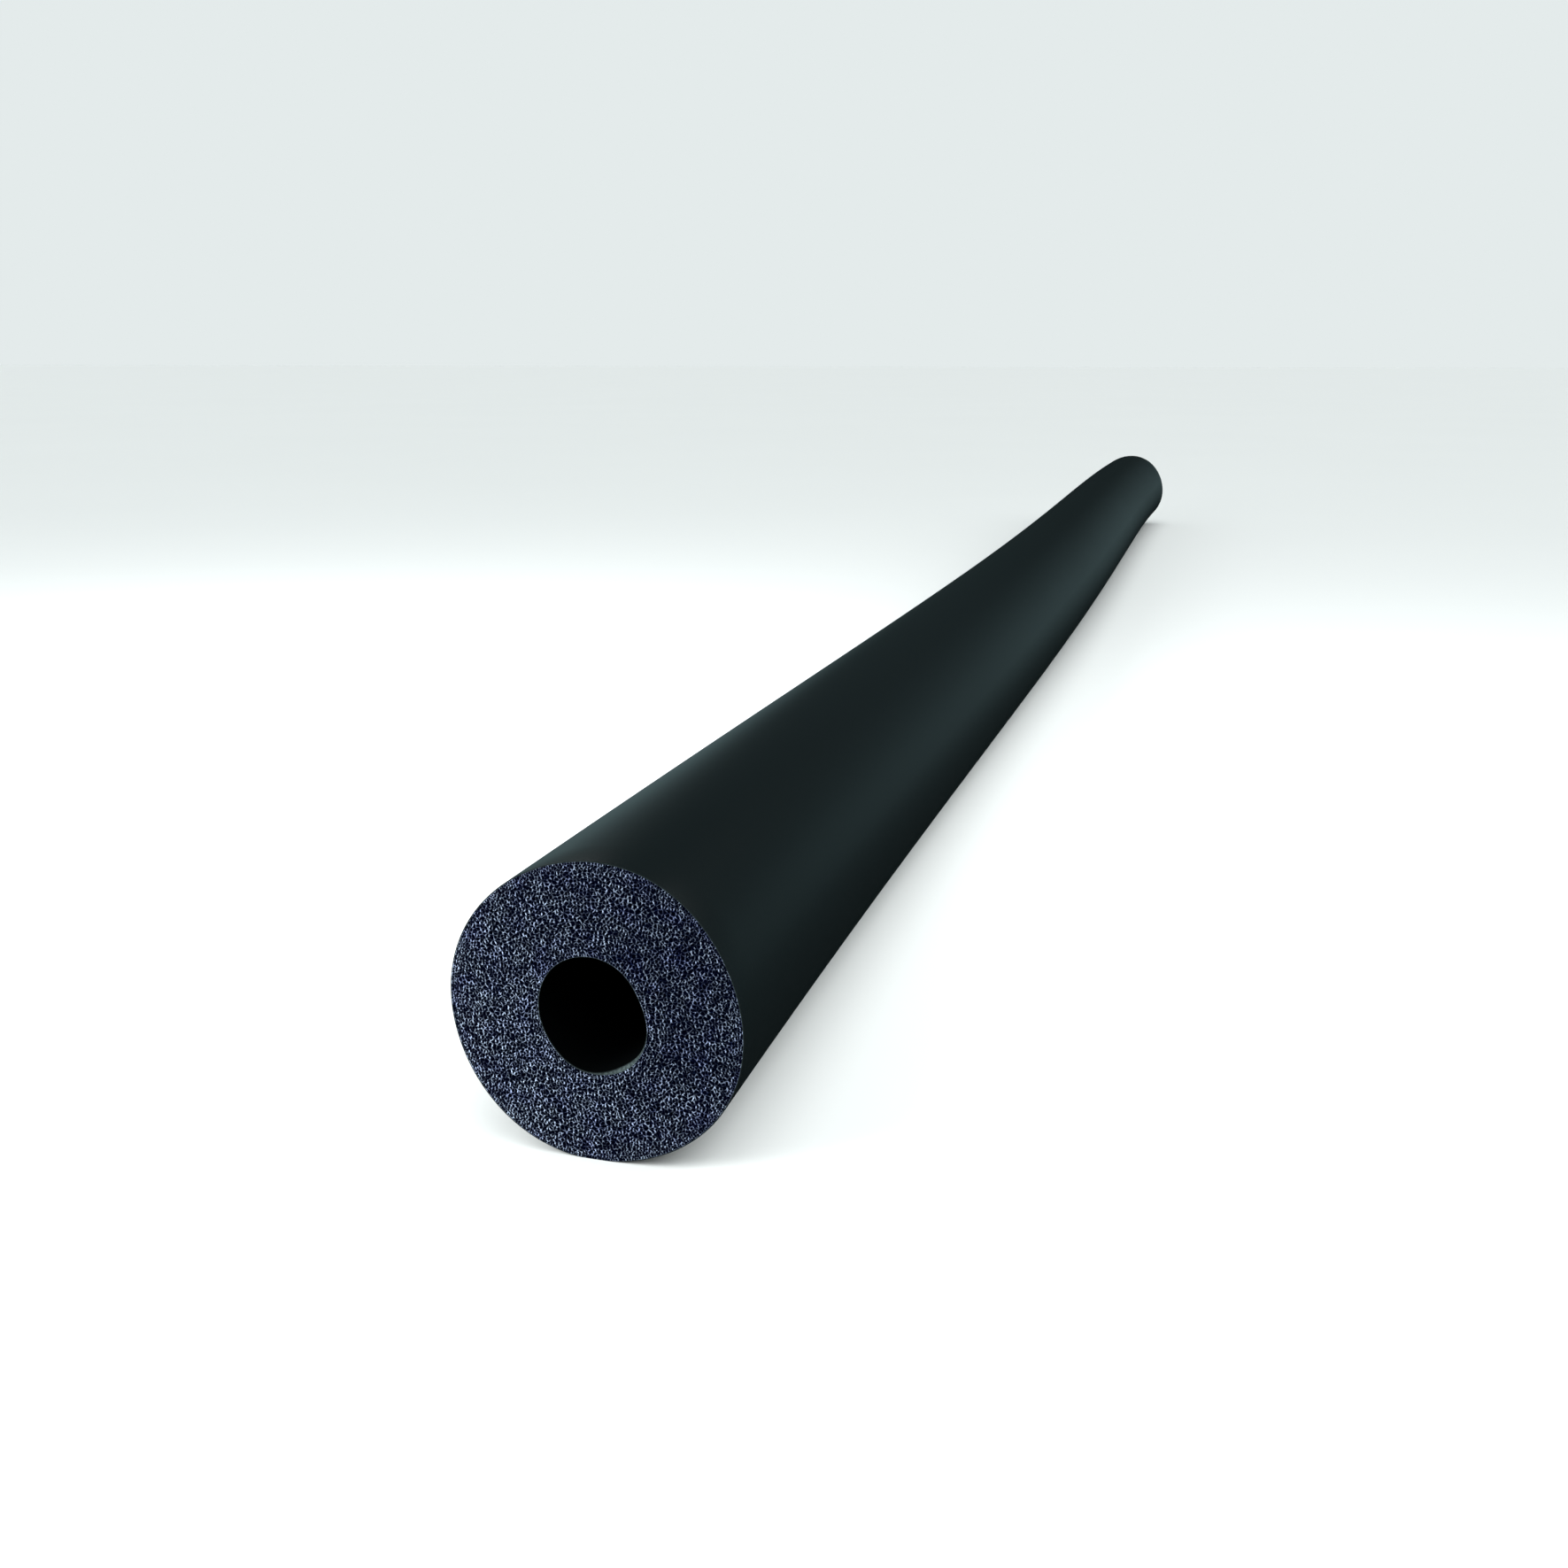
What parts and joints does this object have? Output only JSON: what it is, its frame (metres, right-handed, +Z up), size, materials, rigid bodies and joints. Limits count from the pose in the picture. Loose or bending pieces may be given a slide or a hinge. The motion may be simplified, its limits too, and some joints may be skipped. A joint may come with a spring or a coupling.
{
  "type": "pipe insulation tube",
  "caption": "Length of black closed-cell rubber foam tube, thick-walled and unslit, that lags a heating or cooling pipe.",
  "frame": {"origin": "on the surface that the tube lies on, under the middle of its length", "axes": "+Y along the tube, from the cut face nearest the viewer to the far one; +Z up; +X to the side that the bow's middle leans to"},
  "size_m": [0.0988, 2.0008, 0.0948],
  "materials": {
    "rubber_foam": "matte"
  },
  "bodies": {
    "root": {"foam_tube": "rubber_foam"}
  },
  "joints": []
}
